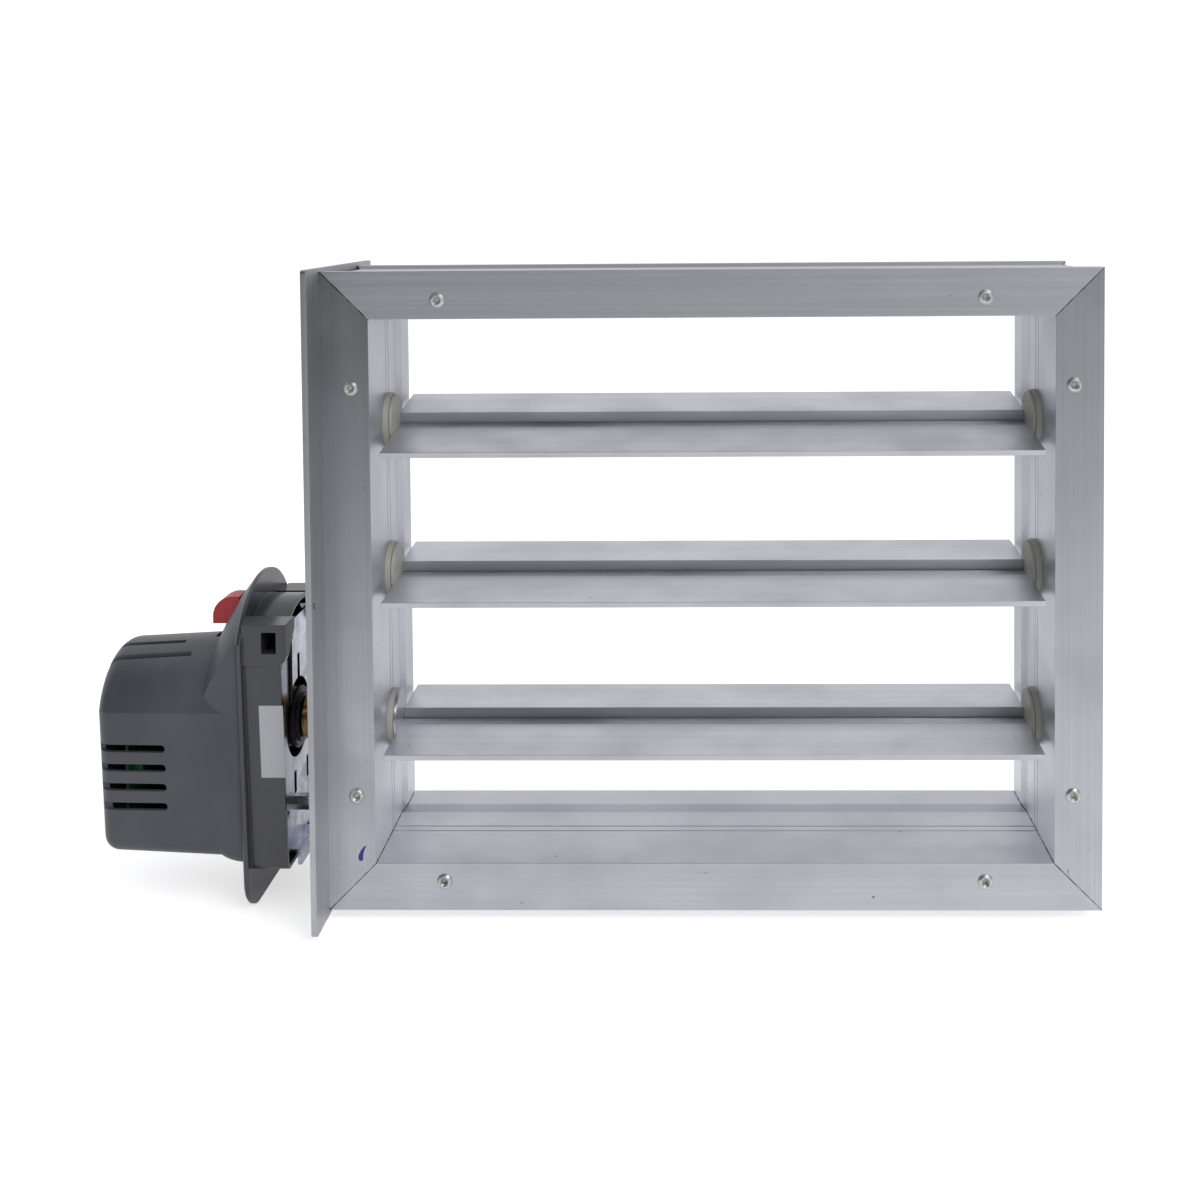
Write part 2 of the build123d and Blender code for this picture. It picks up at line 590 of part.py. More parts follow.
def gear_train():
    half_tooth = 180 / idler_small
    output = gear(output_teeth, coarse, *coarse_x, 0, drive_z, turn=-90)
    write_part("output_gear", output - disc(pivot_r, coarse_x[0] + 1, coarse_x[1] - 1, 0, drive_z))
    idler = gear(idler_small, coarse, coarse_x[0], fine_x[0], 0, idler_z, turn=90 + half_tooth)
    idler += gear(idler_large, fine, *fine_x, 0, idler_z, turn=-45)
    write_part("idler_gear", idler - disc(arbor_r + run_gap, coarse_x[0] + 1, fine_x[1] - 1, 0, idler_z))
    write_part("idler_arbor", disc(arbor_r, flange_x, gear_plate_x[1], 0, idler_z))
    pinion = gear(motor_teeth, fine, *fine_x, motor_y, motor_z, turn=135 + 180 / motor_teeth)
    pinion += disc(motor_shaft_r, fine_x[0], gear_plate_x[1] - 12, motor_y, motor_z)
    write_part("motor_pinion", pinion)
    motor = disc(motor_r, gear_plate_x[1], gear_plate_x[1] - motor_long, motor_y, motor_z)
    motor = chamfer(motor.edges().filter_by(GeomType.CIRCLE), 0.8)
    motor -= disc(motor_shaft_r + run_gap, gear_plate_x[1] + 1, gear_plate_x[1] - 13, motor_y, motor_z)
    write_part("motor", motor)
    plate = slab(domed(**body_shape, inset=0.0), *gear_plate_x) & body_loft(body_wall + 0.2)
    plate -= disc(pivot_r + run_gap, gear_plate_x[0] + 1, gear_plate_x[1] - 1, 0, drive_z)
    plate -= disc(arbor_r, gear_plate_x[0] + 1, gear_plate_x[1] - 1, 0, idler_z)
    plate -= disc(motor_shaft_r + 0.5, gear_plate_x[0] + 1, gear_plate_x[1] - 1, motor_y, motor_z)
    write_part("gear_plate", plate)
    board = block(sorted(board_x), board_y, board_z)
    chips = [block((board_x[0], board_x[0] + 5), (y, y + w), (z, z + h))
             for y, z, w, h in ((-20, -84, 14, 12), (4, -82, 10, 8), (-18, -106, 12, 9))]
    for chip in chips:
        board += chip
    write_part("circuit_board", board)


def release_lever():
    """Red lever that swings about the spindle: ring, arm, curved slot cover and a hollow grip."""
    ring = disc(lever_ring_r, *lever_x, 0, drive_z)
    arm = block(lever_x, (-lever_arm_half, lever_arm_half), (drive_z, grip_z[0] + 1))
    (left, right), (low, top) = grip_x, grip_z
    side = outline([(left, low), (right, low), (right, top), (left, top)])
    side = fillet(side.vertices().sort_by(Axis.X)[:2].sort_by(Axis.Y)[-1], grip_round)
    grip = extrude(Plane.XZ * side, grip_half, both=True)
    hollow = offset(side, -grip_wall, kind=Kind.INTERSECTION)
    pocket = extrude(Plane.XZ * (Pos(grip_wall, 0, 0) * hollow + hollow), grip_half - grip_wall, both=True)
    reach, angles = 2 * shield_r, [math.radians(a) for a in shield_angles]
    wedge = outline([(0, 0)] + [(reach * math.sin(a), reach * math.cos(a)) for a in angles])
    curve = (Circle(shield_r) - Circle(shield_r - shield_thick)) & wedge
    shield = slab(Pos(0, drive_z) * curve, *shield_x)
    lever = ring + arm + shield + (grip - pocket)
    lever -= disc(pivot_r + lever_ring_gap, lever_x[0] - 1, lever_x[1] + 1, 0, drive_z)
    write_part("release_lever", lever)


os.makedirs("parts", exist_ok=True)
frame_members()
corner_keys()
rivets()
side_plate()
blades()
linkage()
rear_case()
actuator_housing()
base_plate()
anti_rotation_stud()
retaining_clip()
hub_clamp()
gear_train()
release_lever()
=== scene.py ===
import math

import bmesh
import bpy
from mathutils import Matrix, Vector


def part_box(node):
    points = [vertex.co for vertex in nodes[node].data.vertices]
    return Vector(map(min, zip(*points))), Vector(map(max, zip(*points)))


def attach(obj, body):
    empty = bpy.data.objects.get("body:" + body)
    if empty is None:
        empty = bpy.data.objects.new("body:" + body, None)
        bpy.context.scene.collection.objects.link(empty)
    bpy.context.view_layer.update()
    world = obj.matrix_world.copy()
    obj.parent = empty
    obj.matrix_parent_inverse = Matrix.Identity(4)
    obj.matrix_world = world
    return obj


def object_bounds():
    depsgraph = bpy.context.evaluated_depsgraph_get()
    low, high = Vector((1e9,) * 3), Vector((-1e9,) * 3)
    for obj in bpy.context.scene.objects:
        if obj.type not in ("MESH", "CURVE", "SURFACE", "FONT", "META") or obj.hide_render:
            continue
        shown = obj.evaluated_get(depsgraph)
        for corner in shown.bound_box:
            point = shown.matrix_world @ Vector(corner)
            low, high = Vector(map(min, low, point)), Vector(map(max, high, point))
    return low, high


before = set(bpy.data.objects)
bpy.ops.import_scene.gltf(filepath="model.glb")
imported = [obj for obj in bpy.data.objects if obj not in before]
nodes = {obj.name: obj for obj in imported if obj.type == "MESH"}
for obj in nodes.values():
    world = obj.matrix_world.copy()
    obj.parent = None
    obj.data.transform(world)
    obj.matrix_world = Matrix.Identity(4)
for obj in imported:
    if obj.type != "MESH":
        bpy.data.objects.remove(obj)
cad_low, cad_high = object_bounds()
mm = 0.001


# ---------------------------------------------------------------- places and values
frame_low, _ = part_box("sill")
_, frame_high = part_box("header")
frame_middle = (frame_low + frame_high) / 2
half_width = (frame_high.x - frame_low.x) / 2
half_height = (frame_high.z - frame_low.z) / 2

# The near wall of the actuator's shroud, and the label on it
wall_top_y, wall_low_y = -42.0 * mm, -34.0 * mm
wall_top_z, wall_low_z = 138.5 * mm, 22.0 * mm
label_top, label_tall, label_wide = 116.0 * mm, 40.5 * mm, 13.2 * mm
label_from_flange = 10.6 * mm
label_lift, label_thick, label_round = 0.05 * mm, 0.12 * mm, 0.6 * mm

# The stroke of felt pen: its foot on the left jamb, and x, z and half width in mm along its spine
stroke_x, stroke_z = 17.2 * mm, 27.6 * mm
stroke_lift, stroke_thick = 0.02 * mm, 0.03 * mm
stroke_spine = [(0.0, 0.0, 1.25), (-0.1, 1.6, 1.3), (0.4, 3.4, 1.1), (1.2, 5.2, 0.85), (2.6, 7.4, 0.35)]
stroke_foot_half, stroke_foot_drop = 0.7, -0.9

# The camera, its turn in degrees
lens_long, sensor_wide = 42.68, 36
lens_shift_x, lens_shift_y = -0.0708, -0.2805
camera_place = (0.063575, -0.79218, 0.38146)
camera_turn = (87.80, 0.41, 0.945)

# The one lamp
key_place, key_aim = (1.3, -1.6, 1.9), (0.05, 0, 0.17)
key_size, key_power = 1.6, 26

# The room: what matt surfaces see, then what reflections see behind and in front of the damper
room_tint = (0.975, 0.98, 1.0)
room_matt, room_behind = 0.62, 0.80
room_front, room_front_least, room_front_most = 0.16, 0.08, 0.95
room_rightwards, room_upwards = 0.70, -1.95
room_turn, room_turn_middle = 2.2, 0.5

# The floor: its size, how it reads to the camera, and the glow that reflections see, by y
floor_reach, floor_drop = 30, 0.2 * mm
floor_color = (0.80, 0.80, 0.81, 1)
floor_to_camera = 0.62
floor_glow, glow_from_y, glow_to_y = 0.25, -0.85, -0.08

# The painted reflection that makes the foot of an upright's inner wall paler, and the heights between
# which it fades
foot_reflection_color = (0.96, 0.97, 1.0)
foot_full, foot_gone = 40 * mm, 110 * mm

# How far edges are rounded in the shading
metal_edge, plastic_edge = 0.25 * mm, 0.5 * mm

# Marks on mill finish
mark_color, seam_color = (0.05, 0.05, 0.055), (0.012, 0.012, 0.014)
smear_share, smear_darkness = 0.28, 0.80


# ---------------------------------------------------------------- camera, lamps, world and floor
def point_camera():
    """A lens just above the top of the damper, level but for a small dip."""
    data = bpy.data.cameras.new("camera")
    data.sensor_width = sensor_wide
    data.lens = lens_long
    data.shift_x = lens_shift_x
    data.shift_y = lens_shift_y
    camera = bpy.data.objects.new("camera", data)
    camera.location = camera_place
    camera.rotation_euler = [math.radians(angle) for angle in camera_turn]
    bpy.context.scene.collection.objects.link(camera)
    bpy.context.scene.camera = camera


def hang_lamp(name, place, aim, size, power):
    """A round lamp turned to face its aim."""
    data = bpy.data.lights.new(name, "AREA")
    data.shape = "DISK"
    data.size = size
    data.energy = power
    lamp = bpy.data.objects.new(name, data)
    lamp.location = place
    lamp.rotation_euler = (Vector(aim) - Vector(place)).to_track_quat("-Z", "Y").to_euler()
    bpy.context.scene.collection.objects.link(lamp)


def add(tree, kind, x=0, y=0, **settings):
    """A node at a place in the editor, with its settings."""
    made = tree.nodes.new(kind)
    made.location = (x, y)
    for name, value in settings.items():
        setattr(made, name, value)
    return made


def fill(made, **values):
    """Sets input sockets by name, with underscores for spaces."""
    for name, value in values.items():
        made.inputs[name.replace("_", " ")].default_value = value
    return made


def maths(tree, operation, first, second=None, third=None, clamp=False):
    """One Math node. Each operand is a number or a socket. Gives its output."""
    made = add(tree, "ShaderNodeMath", operation=operation, use_clamp=clamp)
    for socket, value in zip(made.inputs, (first, second, third)):
        if isinstance(value, (int, float)):
            socket.default_value = value
        elif value is not None:
            tree.links.new(value, socket)
    return made.outputs[0]


def set_world():
    """White to the camera. Reflections see a pale room behind, and one in front that is darkest
    high on the left. Matt surfaces see one even level."""
    world = bpy.data.worlds.new("studio")
    bpy.context.scene.world = world
    world.use_nodes = True
    tree = world.node_tree
    tree.nodes.clear()
    direction = add(tree, "ShaderNodeTexCoord").outputs["Generated"]
    parts = add(tree, "ShaderNodeSeparateXYZ")
    tree.links.new(direction, parts.inputs[0])
    x, y, z = parts.outputs
    sideways = maths(tree, "MULTIPLY", x, room_rightwards)
    slope = maths(tree, "ADD", sideways, maths(tree, "MULTIPLY", z, room_upwards))
    front = maths(tree, "MAXIMUM", maths(tree, "ADD", slope, room_front), room_front_least)
    front = maths(tree, "MINIMUM", front, room_front_most)
    behind = maths(tree, "MULTIPLY_ADD", y, room_turn, room_turn_middle, clamp=True)
    room = add(tree, "ShaderNodeMix", data_type="FLOAT")
    tree.links.new(behind, room.inputs["Factor"])
    tree.links.new(front, room.inputs["A"])
    room.inputs["B"].default_value = room_behind
    ray = add(tree, "ShaderNodeLightPath")
    seen = ray.outputs["Is Camera Ray"]
    mirrored = maths(tree, "MAXIMUM", ray.outputs["Is Glossy Ray"], ray.outputs["Is Transmission Ray"])
    level = add(tree, "ShaderNodeMix", data_type="FLOAT")
    tree.links.new(mirrored, level.inputs["Factor"])
    level.inputs["A"].default_value = room_matt
    tree.links.new(room.outputs[0], level.inputs["B"])
    shown = add(tree, "ShaderNodeMix", data_type="FLOAT")
    tree.links.new(seen, shown.inputs["Factor"])
    tree.links.new(level.outputs[0], shown.inputs["A"])
    shown.inputs["B"].default_value = 1.0
    light = add(tree, "ShaderNodeBackground")
    tree.links.new(blend_colors(tree, seen, room_tint, (1.0, 1.0, 1.0)), light.inputs["Color"])
    tree.links.new(shown.outputs[0], light.inputs["Strength"])
    output = add(tree, "ShaderNodeOutputWorld")
    tree.links.new(light.outputs[0], output.inputs["Surface"])


def lay_floor():
    """A pale floor, white to the camera but for a soft shadow. Reflections see it brighten
    towards the damper."""
    mesh = bpy.data.meshes.new("floor")
    signs = [(-1, -1), (1, -1), (1, 1), (-1, 1)]
    level = cad_low.z - floor_drop
    mesh.from_pydata([(x * floor_reach, y * floor_reach, level) for x, y in signs], [], [(0, 1, 2, 3)])
    floor = bpy.data.objects.new("floor", mesh)
    bpy.context.scene.collection.objects.link(floor)
    material = bpy.data.materials.new("pale_floor")
    material.use_nodes = True
    tree = material.node_tree
    tree.nodes.clear()
    matt = fill(add(tree, "ShaderNodeBsdfDiffuse"), Color=floor_color)
    glow = fill(add(tree, "ShaderNodeEmission"), Color=(1, 1, 1, 1))
    ray = add(tree, "ShaderNodeLightPath")
    place = add(tree, "ShaderNodeSeparateXYZ")
    tree.links.new(add(tree, "ShaderNodeTexCoord").outputs["Object"], place.inputs[0])
    lit = ramp(tree, place.outputs[1], glow_from_y, glow_to_y, 0.0, floor_glow, smooth=False)
    mirrored = maths(tree, "MULTIPLY", ray.outputs["Is Glossy Ray"], lit)
    seen = maths(tree, "MULTIPLY", ray.outputs["Is Camera Ray"], floor_to_camera)
    tree.links.new(maths(tree, "ADD", seen, mirrored), glow.inputs["Strength"])
    both = add(tree, "ShaderNodeAddShader")
    tree.links.new(matt.outputs[0], both.inputs[0])
    tree.links.new(glow.outputs[0], both.inputs[1])
    output = add(tree, "ShaderNodeOutputMaterial")
    tree.links.new(both.outputs[0], output.inputs["Surface"])
    mesh.materials.append(material)


# ---------------------------------------------------------------- shared effects, as node groups
def start_group(name, inputs, outputs):
    """An empty node group. Inputs and outputs are (name, kind, default) and (name, kind)."""
    tree = bpy.data.node_groups.new(name, "ShaderNodeTree")
    for label, kind, value in inputs:
        socket = tree.interface.new_socket(label, in_out="INPUT", socket_type="NodeSocket" + kind)
        socket.default_value = value
    for label, kind in outputs:
        tree.interface.new_socket(label, in_out="OUTPUT", socket_type="NodeSocket" + kind)
    return tree, add(tree, "NodeGroupInput"), add(tree, "NodeGroupOutput")


def stretched_noise(tree, stretch, detail=2.0, rough=0.5, offset=(0, 0, 0)):
    """Noise over the piece's own metres, each axis multiplied by stretch. Gives its value."""
    where = add(tree, "ShaderNodeTexCoord")
    scale = add(tree, "ShaderNodeVectorMath", operation="MULTIPLY_ADD")
    tree.links.new(where.outputs["Object"], scale.inputs[0])
    if isinstance(stretch, tuple):
        scale.inputs[1].default_value = stretch
    else:
        tree.links.new(stretch, scale.inputs[1])
    scale.inputs[2].default_value = offset
    noise = fill(add(tree, "ShaderNodeTexNoise"), Scale=1.0, Detail=detail, Roughness=rough)
    tree.links.new(scale.outputs[0], noise.inputs["Vector"])
    return noise.outputs["Fac"]


def ramp(tree, value, low, high, to_low=0.0, to_high=1.0, smooth=True):
    """Carries a value from the span low to high over to another span. Gives its socket."""
    made = add(tree, "ShaderNodeMapRange", interpolation_type="SMOOTHSTEP" if smooth else "LINEAR")
    tree.links.new(value, made.inputs["Value"])
    for name, number in (("From Min", low), ("From Max", high), ("To Min", to_low), ("To Max", to_high)):
        made.inputs[name].default_value = number
    return made.outputs["Result"]


def make_die_lines():
    """Fine lines that an extrusion die leaves along the metal. Run stretches the pattern."""
    tree, given, out = start_group(
        "die_lines",
        [("Run", "Vector", (5, 700, 700)), ("Bands", "Vector", (1.5, 90, 90))],
        [("Lines", "Float"), ("Bands", "Float")])
    fine = stretched_noise(tree, given.outputs["Run"], detail=3.0, rough=0.6)
    broad = stretched_noise(tree, given.outputs["Bands"], detail=2.0, offset=(3.1, 0.7, 5.3))
    tree.links.new(ramp(tree, fine, 0.22, 0.78), out.inputs["Lines"])
    tree.links.new(ramp(tree, broad, 0.20, 0.80), out.inputs["Bands"])
    return tree


def make_handling_marks():
    """Small dark specks and scuffs from cutting and handling, and cloudy smears."""
    tree, given, out = start_group(
        "handling_marks",
        [("Scuff run", "Vector", (260, 330, 330))],
        [("Marks", "Float"), ("Smears", "Float")])
    where = add(tree, "ShaderNodeTexCoord")
    speck = fill(add(tree, "ShaderNodeTexVoronoi", feature="F1"), Scale=52.0, Randomness=1.0)
    tree.links.new(where.outputs["Object"], speck.inputs["Vector"])
    close = ramp(tree, speck.outputs["Distance"], 0.055, 0.015)
    chosen = add(tree, "ShaderNodeSeparateColor")
    tree.links.new(speck.outputs["Color"], chosen.inputs[0])
    close = maths(tree, "MULTIPLY", close, ramp(tree, chosen.outputs[0], 0.70, 0.72))
    scuffs = stretched_noise(
        tree, given.outputs["Scuff run"], detail=4.0, rough=0.7, offset=(9.1, 2.3, 4.7))
    patches = stretched_noise(tree, (26, 26, 26), detail=1.0, offset=(1.7, 8.2, 3.9))
    scuffs = maths(tree, "MULTIPLY", ramp(tree, scuffs, 0.66, 0.74), ramp(tree, patches, 0.56, 0.66))
    tree.links.new(maths(tree, "MAXIMUM", close, scuffs), out.inputs["Marks"])
    smears = stretched_noise(tree, (17, 17, 17), detail=4.0, rough=0.62, offset=(4.4, 6.6, 0.3))
    tree.links.new(ramp(tree, smears, 0.35, 0.68), out.inputs["Smears"])
    return tree


def make_mitre_seam():
    """A dark line of uneven width where two mitred lengths meet."""
    tree, given, out = start_group(
        "mitre_seam", [("Width", "Float", 0.25 * mm)], [("Seam", "Float")])
    where = add(tree, "ShaderNodeTexCoord")
    parts = add(tree, "ShaderNodeSeparateXYZ")
    tree.links.new(where.outputs["Object"], parts.inputs[0])
    across = maths(tree, "ABSOLUTE", maths(tree, "SUBTRACT", parts.outputs[0], frame_middle.x))
    along = maths(tree, "ABSOLUTE", maths(tree, "SUBTRACT", parts.outputs[2], frame_middle.z))
    apart = maths(tree, "SUBTRACT", maths(tree, "SUBTRACT", across, along), half_width - half_height)
    apart = maths(tree, "ABSOLUTE", apart)
    uneven = ramp(tree, stretched_noise(tree, (160, 160, 160)), 0.3, 0.7, 0.5, 1.6)
    width = maths(tree, "MULTIPLY", given.outputs["Width"], uneven)
    seam = maths(tree, "LESS_THAN", apart, width)
    tree.links.new(seam, out.inputs["Seam"])
    return tree


def make_moulding_grain():
    """The fine spark-eroded grain and slow flow marks of a moulded casing."""
    tree, given, out = start_group(
        "moulding_grain", [("Grain", "Float", 1900.0)], [("Height", "Float"), ("Flow", "Float")])
    where = add(tree, "ShaderNodeTexCoord")
    grain = fill(add(tree, "ShaderNodeTexNoise"), Detail=2.0)
    tree.links.new(where.outputs["Object"], grain.inputs["Vector"])
    tree.links.new(given.outputs["Grain"], grain.inputs["Scale"])
    tree.links.new(grain.outputs["Fac"], out.inputs["Height"])
    flow = stretched_noise(tree, (22, 30, 14), detail=3.0, offset=(2.2, 7.1, 1.3))
    tree.links.new(ramp(tree, flow, 0.3, 0.7), out.inputs["Flow"])
    return tree


def make_soft_edges():
    """Rounds off sharp edges in the shading, and gives a mask of the edges themselves."""
    tree, given, out = start_group(
        "soft_edges", [("Radius", "Float", 0.4 * mm)], [("Edge", "Float"), ("Normal", "Vector")])
    bevel = add(tree, "ShaderNodeBevel", samples=6)
    tree.links.new(given.outputs["Radius"], bevel.inputs["Radius"])
    surface = add(tree, "ShaderNodeNewGeometry")
    match = add(tree, "ShaderNodeVectorMath", operation="DOT_PRODUCT")
    tree.links.new(bevel.outputs[0], match.inputs[0])
    tree.links.new(surface.outputs["True Normal"], match.inputs[1])
    tree.links.new(ramp(tree, match.outputs["Value"], 0.985, 0.90), out.inputs["Edge"])
    tree.links.new(bevel.outputs[0], out.inputs["Normal"])
    return tree


effects = {}


def build_effects():
    """Builds each shared effect once."""
    for make in (make_die_lines, make_handling_marks, make_mitre_seam,
                 make_moulding_grain, make_soft_edges):
        tree = make()
        effects[tree.name] = tree


def place_effect(tree, name, **values):
    """Puts a shared effect into a material, with its own values."""
    made = add(tree, "ShaderNodeGroup", node_tree=effects[name])
    return fill(made, **values)


# ---------------------------------------------------------------- materials
def start_material(name, metallic, roughness, color, **sockets):
    """A material with a Principled shader, its constants set on the shader itself."""
    material = bpy.data.materials.new(name)
    material.use_nodes = True
    tree = material.node_tree
    tree.nodes.clear()
    shader = add(tree, "ShaderNodeBsdfPrincipled", 600, 0)
    fill(shader, Metallic=metallic, Roughness=roughness, Base_Color=(*color, 1), **sockets)
    output = add(tree, "ShaderNodeOutputMaterial", 900, 0)
    tree.links.new(shader.outputs[0], output.inputs["Surface"])
    return material, tree, shader


def blend_colors(tree, factor, first, second):
    """Mixes two colours, each a triple or a socket, by a socket. Gives a colour socket."""
    made = add(tree, "ShaderNodeMix", data_type="RGBA")
    tree.links.new(factor, made.inputs[0])
    for socket, value in ((made.inputs[6], first), (made.inputs[7], second)):
        if isinstance(value, tuple):
            socket.default_value = (*value, 1)
        else:
            tree.links.new(value, socket)
    return made.outputs[2]


def bump(tree, height, strength, distance, normal=None):
    """Raises the surface by a height, over a normal if one is given. Gives the new normal."""
    made = fill(add(tree, "ShaderNodeBump"), Strength=strength, Distance=distance)
    tree.links.new(height, made.inputs["Height"])
    if normal is not None:
        tree.links.new(normal, made.inputs["Normal"])
    return made.outputs[0]


def painted_facing_share(tree, inner, across):
    """Share of painted shade: inner where a face looks squarely along an axis, 0 for x and 2 for z."""
    surface = add(tree, "ShaderNodeNewGeometry")
    parts = add(tree, "ShaderNodeSeparateXYZ")
    tree.links.new(surface.outputs["Normal"], parts.inputs[0])
    squarely = ramp(tree, maths(tree, "ABSOLUTE", parts.outputs[across]), 0.5, 0.9)
    return maths(tree, "MULTIPLY", squarely, inner)


def painted_height_shade(tree, painted_top_shade):
    """Painted shade on an upright length: brightness 1 low down, falling to the given top value at the
    top of the frame.
    """
    where = add(tree, "ShaderNodeTexCoord")
    parts = add(tree, "ShaderNodeSeparateXYZ")
    tree.links.new(where.outputs["Object"], parts.inputs[0])
    return ramp(tree, parts.outputs[2], frame_low.z, frame_high.z, 1.0, painted_top_shade, smooth=False)


def painted_inner_wall(tree, upper):
    """Colour of an upright's inner wall: pale near the sill, a painted reflection, and upper above it, a
    painted shade.
    """
    where = add(tree, "ShaderNodeTexCoord")
    parts = add(tree, "ShaderNodeSeparateXYZ")
    tree.links.new(where.outputs["Object"], parts.inputs[0])
    low = ramp(tree, parts.outputs[2], frame_low.z + foot_gone, frame_low.z + foot_full)
    return blend_colors(tree, low, upper, foot_reflection_color)


def mill_aluminium(name, along, light, dark, roughness, seam=False, marks=0.75, inner=0.0,
                   painted_top_shade=1.0, inner_shade_color=(0.58, 0.59, 0.635)):
    """Mill-finish aluminium: lines along the extrusion, bands, smears, specks and soft edges, with
    painted shade by height and by facing, and a painted reflection at an upright's foot.
    """
    material, tree, shader = start_material(name, 1.0, roughness, light)
    runs = {"x": ((4, 760, 760), (1.2, 95, 95)), "z": ((760, 760, 4), (95, 95, 1.2))}
    run, bands = runs[along]
    lines = place_effect(tree, "die_lines", Run=run, Bands=bands)
    scuff_run = (110, 420, 420) if along == "x" else (420, 420, 110)
    worn = place_effect(tree, "handling_marks", Scuff_run=scuff_run)
    color = blend_colors(tree, lines.outputs["Bands"], dark, light)
    fine = ramp(tree, lines.outputs["Lines"], 0, 1, 0.93, 1.05, smooth=False)
    # Painted shade: the colour is scaled darker towards the top of the frame.
    tone = add(tree, "ShaderNodeVectorMath", operation="SCALE")
    tree.links.new(color, tone.inputs[0])
    tree.links.new(maths(tree, "MULTIPLY", fine, painted_height_shade(tree, painted_top_shade)), tone.inputs["Scale"])
    smear = ramp(tree, worn.outputs["Smears"], 0, 1, 0.0, smear_share, smooth=False)
    color = blend_colors(tree, smear, tone.outputs[0], tuple(c * smear_darkness for c in dark))
    # Painted shade: faces that look sideways on an upright, or up and down on the header and sill, take
    # a colour of their own; on an upright it turns paler at the foot, a painted reflection.
    if inner:
        upright = along == "z"
        painted_wall_share = painted_facing_share(tree, inner, 0 if upright else 2)
        wall = painted_inner_wall(tree, inner_shade_color) if upright else inner_shade_color
        color = blend_colors(tree, painted_wall_share, color, wall)
    marked = maths(tree, "MULTIPLY", worn.outputs["Marks"], marks)
    color = blend_colors(tree, marked, color, mark_color)
    rough = ramp(tree, worn.outputs["Smears"], 0, 1, roughness - 0.04, roughness + 0.08, smooth=False)
    rough = maths(tree, "ADD", rough, maths(tree, "MULTIPLY", lines.outputs["Lines"], 0.06))
    if seam:
        cut = place_effect(tree, "mitre_seam")
        color = blend_colors(tree, cut.outputs["Seam"], color, seam_color)
        rough = maths(tree, "ADD", rough, maths(tree, "MULTIPLY", cut.outputs["Seam"], 0.5), clamp=True)
    tree.links.new(color, shader.inputs["Base Color"])
    tree.links.new(rough, shader.inputs["Roughness"])
    edges = place_effect(tree, "soft_edges")
    normal = bump(tree, lines.outputs["Lines"], 0.12, 0.05 * mm, edges.outputs["Normal"])
    tree.links.new(normal, shader.inputs["Normal"])
    return material


def plated_steel(name, light, dark, roughness, grain=240.0):
    """Zinc-plated steel: slightly mottled, with soft edges."""
    material, tree, shader = start_material(name, 1.0, roughness, light)
    mottle = stretched_noise(tree, (grain, grain, grain), detail=4.0, rough=0.6)
    patch = stretched_noise(tree, (34, 34, 34), detail=2.0, offset=(5.2, 1.4, 3.3))
    factor = maths(tree, "MULTIPLY", ramp(tree, mottle, 0.35, 0.65), ramp(tree, patch, 0.35, 0.65))
    tree.links.new(blend_colors(tree, factor, light, dark), shader.inputs["Base Color"])
    rough = ramp(tree, mottle, 0.3, 0.7, roughness - 0.05, roughness + 0.10)
    tree.links.new(rough, shader.inputs["Roughness"])
    edges = place_effect(tree, "soft_edges", Radius=metal_edge)
    tree.links.new(bump(tree, mottle, 0.10, 0.05 * mm, edges.outputs["Normal"]), shader.inputs["Normal"])
    return material


def turned_metal(name, light, dark, roughness):
    """Turned metal: fine rings of tool marks along the axis of the shaft."""
    material, tree, shader = start_material(name, 1.0, roughness, light)
    rings = stretched_noise(tree, (2600, 60, 60), detail=2.0)
    color = blend_colors(tree, ramp(tree, rings, 0.3, 0.7), dark, light)
    tree.links.new(color, shader.inputs["Base Color"])
    rough = ramp(tree, rings, 0.3, 0.7, roughness - 0.06, roughness + 0.08)
    tree.links.new(rough, shader.inputs["Roughness"])
    edges = place_effect(tree, "soft_edges", Radius=metal_edge)
    tree.links.new(bump(tree, rings, 0.2, 0.04 * mm, edges.outputs["Normal"]), shader.inputs["Normal"])
    return material


def moulded_plastic(name, color, roughness, relief=0.18, variation=0.16, specular=0.5):
    """Moulded plastic: fine grain, slow flow marks, and a painted highlight that lightens the edges."""
    material, tree, shader = start_material(name, 0.0, roughness, color, Specular_IOR_Level=specular)
    moulding = place_effect(tree, "moulding_grain")
    deep = tuple(c * (1 - variation) for c in color)
    pale = tuple(min(1.0, c * (1 + variation)) for c in color)
    tone = blend_colors(tree, moulding.outputs["Flow"], deep, pale)
    edges = place_effect(tree, "soft_edges", Radius=plastic_edge)
    # Painted highlight: edges are lightened in the colour, standing for light catching them.
    edge_highlight_color = tuple(min(1.0, c * 1.5 + 0.01) for c in color)
    edge = maths(tree, "MULTIPLY", edges.outputs["Edge"], 0.35)
    tree.links.new(blend_colors(tree, edge, tone, edge_highlight_color), shader.inputs["Base Color"])
    rough = ramp(tree, moulding.outputs["Flow"], 0, 1, roughness - 0.05, roughness + 0.05, smooth=False)
    tree.links.new(rough, shader.inputs["Roughness"])
    normal = bump(tree, moulding.outputs["Height"], relief, 0.06 * mm, edges.outputs["Normal"])
    tree.links.new(normal, shader.inputs["Normal"])
    return material


